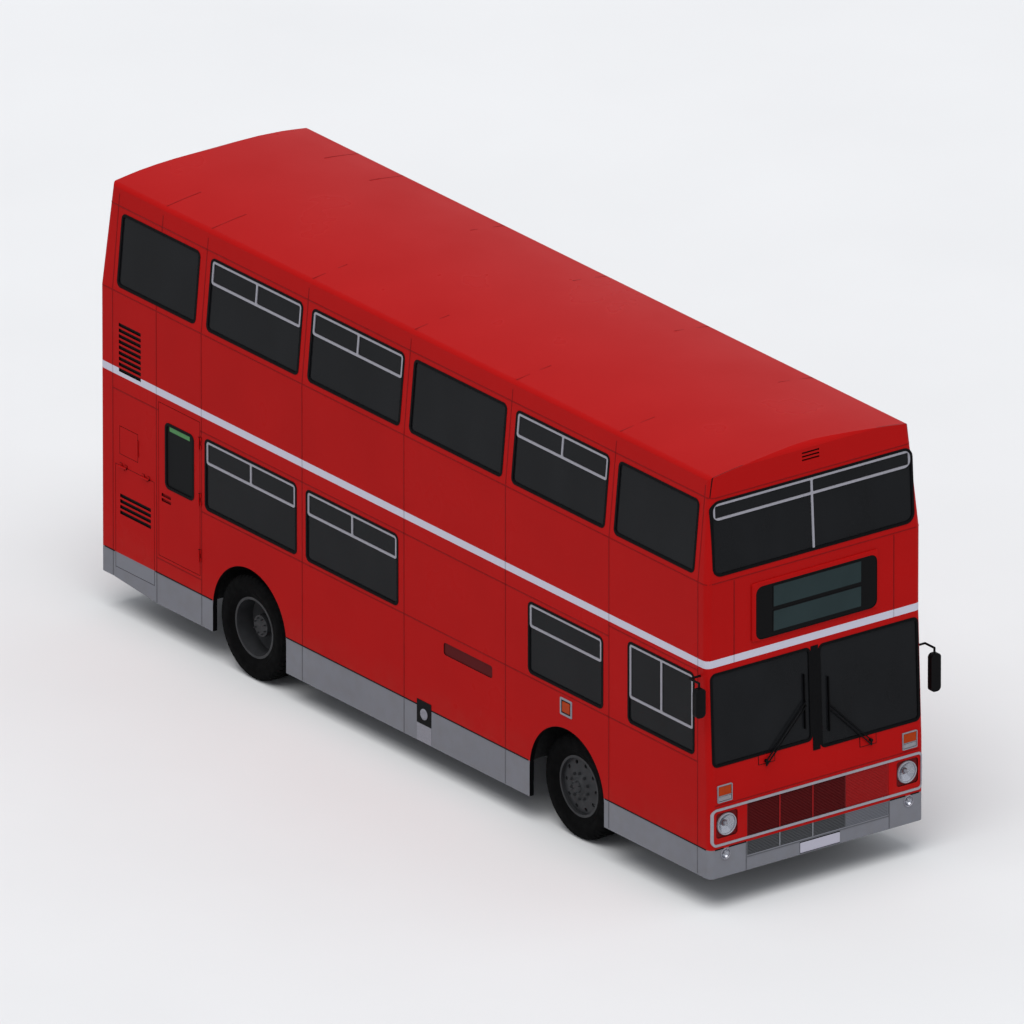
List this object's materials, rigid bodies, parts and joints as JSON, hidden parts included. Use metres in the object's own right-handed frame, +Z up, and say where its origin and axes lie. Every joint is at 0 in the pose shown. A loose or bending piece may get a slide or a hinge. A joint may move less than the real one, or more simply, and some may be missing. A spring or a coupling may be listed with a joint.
{
  "type": "double-decker bus",
  "caption": "Rear-engined double-decker bus with a front entrance with folding doors, two passenger saloons joined by a staircase, and steered front wheels.",
  "frame": {"origin": "on the ground, below the middle of the bus", "axes": "+Z up, the front faces -Y, the driver's right-hand side is -X"},
  "size_m": [2.856, 9.5635, 4.38],
  "materials": {
    "red_paint": "smooth gloss coach paint",
    "roof_paint": "gloss coach paint",
    "grey_paint": "semi-gloss paint",
    "dark_glass": "tinted safety glass",
    "box_glass": "gloss black surround",
    "black_rubber": "smooth",
    "bright_metal": "satin",
    "grille_paint": "gloss",
    "lamp_glass": "clear moulded lens",
    "amber_lens": "moulded lens",
    "red_lens": "moulded lens",
    "black_plastic": "fine texture",
    "floor_cover": "ribbed floor covering",
    "interior_panel": "laminate",
    "seat_cloth": "moquette",
    "seat_frame": "satin",
    "chassis_paint": "satin black",
    "cast_grey": "as cast, painted",
    "wheel_paint": "satin silver grey",
    "tyre_black": "moulded",
    "door_paint": "gloss coach paint"
  },
  "bodies": {
    "body": {"air_springs": "black_rubber", "amber_lamps": "amber_lens", "bulkheads": "interior_panel", "chassis_frame": "chassis_paint", "dashboard": "black_plastic", "destination_box": "box_glass", "engine_block": "cast_grey", "entrance_step": "floor_cover", "front_axle": "chassis_paint", "front_bumper": "grey_paint", "front_grille": "grille_paint", "front_lower_panel": "red_paint", "front_upper_panel": "red_paint", "front_windows": "dark_glass", "grille_trim": "bright_metal", "headlamps": "lamp_glass", "lower_floor": "floor_cover", "mirrors": "black_plastic", "rear_axle": "chassis_paint", "rear_bumper": "grey_paint", "rear_lamps": "red_lens", "rear_panel": "red_paint", "rear_windows": "dark_glass", "roof": "roof_paint", "seat_frames": "seat_frame", "seats_lower": "seat_cloth", "seats_upper": "seat_cloth", "side_skirts": "grey_paint", "side_wall_left": "red_paint", "side_wall_right": "red_paint", "side_windows": "dark_glass", "staircase": "interior_panel", "upper_floor": "floor_cover", "upper_side_walls": "red_paint", "vent_frames": "bright_metal", "wheelhouses": "interior_panel", "window_rubbers": "black_rubber", "wipers": "black_plastic"},
    "knuckle_left": {"knuckle_left": "chassis_paint"},
    "knuckle_right": {"knuckle_right": "chassis_paint"},
    "front_wheel_left": {"front_tyre_left": "tyre_black", "front_rim_left": "wheel_paint"},
    "front_wheel_right": {"front_tyre_right": "tyre_black", "front_rim_right": "wheel_paint"},
    "rear_wheels_left": {"rear_tyres_left": "tyre_black", "rear_rims_left": "wheel_paint"},
    "rear_wheels_right": {"rear_tyres_right": "tyre_black", "rear_rims_right": "wheel_paint"},
    "steering_wheel": {"steering_wheel": "black_plastic"},
    "door_rear_outer": {"door_rear_outer": "door_paint"},
    "door_rear_inner": {"door_rear_inner": "door_paint"},
    "door_front_outer": {"door_front_outer": "door_paint"},
    "door_front_inner": {"door_front_inner": "door_paint"},
    "emergency_door": {"emergency_door": "red_paint"},
    "engine_hatch": {"engine_hatch": "red_paint"},
    "rear_bonnet": {"rear_bonnet": "red_paint"},
    "filler_flap": {"filler_flap": "red_paint"}
  },
  "joints": [
    {"name": "steer_left", "type": "hinge", "parent": "body", "child": "knuckle_left", "pos_m": [0.88, -2.548, 0.518], "axis": [0, 0, 1], "range_deg": [-42, 42]},
    {"name": "front_wheel_left_spin", "type": "hinge", "parent": "knuckle_left", "child": "front_wheel_left", "pos_m": [1.002, -2.548, 0.518], "axis": [1, 0, 0], "continuous": true},
    {"name": "rear_wheels_left_spin", "type": "hinge", "parent": "body", "child": "rear_wheels_left", "pos_m": [1.089, 2.412, 0.518], "axis": [1, 0, 0], "continuous": true},
    {"name": "steer_right", "type": "hinge", "parent": "body", "child": "knuckle_right", "pos_m": [-0.88, -2.548, 0.518], "axis": [0, 0, 1], "range_deg": [-42, 42]},
    {"name": "front_wheel_right_spin", "type": "hinge", "parent": "knuckle_right", "child": "front_wheel_right", "pos_m": [-1.002, -2.548, 0.518], "axis": [1, 0, 0], "continuous": true},
    {"name": "rear_wheels_right_spin", "type": "hinge", "parent": "body", "child": "rear_wheels_right", "pos_m": [-1.089, 2.412, 0.518], "axis": [1, 0, 0], "continuous": true},
    {"name": "steering_wheel_turn", "type": "hinge", "parent": "body", "child": "steering_wheel", "pos_m": [-0.79, -4.13, 1.4], "axis": [0, 0.342, 0.9397], "range_deg": [-756, 756]},
    {"name": "door_rear_outer_turn", "type": "hinge", "parent": "body", "child": "door_rear_outer", "pos_m": [1.218, -3.314, 1.3], "axis": [0, 0, -1], "range_deg": [0, 85]},
    {"name": "door_rear_inner_fold", "type": "hinge", "parent": "door_rear_outer", "child": "door_rear_inner", "pos_m": [1.24, -3.594, 1.3], "axis": [0, 0, -1], "range_deg": [-170, 0]},
    {"name": "door_front_outer_turn", "type": "hinge", "parent": "body", "child": "door_front_outer", "pos_m": [1.218, -4.466, 1.3], "axis": [0, 0, 1], "range_deg": [0, 85]},
    {"name": "door_front_inner_fold", "type": "hinge", "parent": "door_front_outer", "child": "door_front_inner", "pos_m": [1.24, -4.186, 1.3], "axis": [0, 0, 1], "range_deg": [-170, 0]},
    {"name": "emergency_door_swing", "type": "hinge", "parent": "body", "child": "emergency_door", "pos_m": [-1.262, 3.1895, 1.585], "axis": [0, 0, 1], "range_deg": [0, 100]},
    {"name": "engine_hatch_lift", "type": "hinge", "parent": "body", "child": "engine_hatch", "pos_m": [-1.262, 4.218, 1.5195], "axis": [0, 1, 0], "range_deg": [0, 90]},
    {"name": "rear_bonnet_lift", "type": "hinge", "parent": "body", "child": "rear_bonnet", "pos_m": [0, 4.771, 1.4875], "axis": [1, 0, 0], "range_deg": [0, 75]},
    {"name": "filler_flap_swing", "type": "hinge", "parent": "body", "child": "filler_flap", "pos_m": [-1.256, 4.167, 1.778], "axis": [0, 0, 1], "range_deg": [0, 100]}
  ],
  "couplings": [
    {"joint": "steer_right", "follows": "steer_left", "ratio": 1},
    {"joint": "steering_wheel_turn", "follows": "steer_left", "ratio": 18},
    {"joint": "door_rear_inner_fold", "follows": "door_rear_outer_turn", "ratio": -2},
    {"joint": "door_front_inner_fold", "follows": "door_front_outer_turn", "ratio": -2}
  ]
}
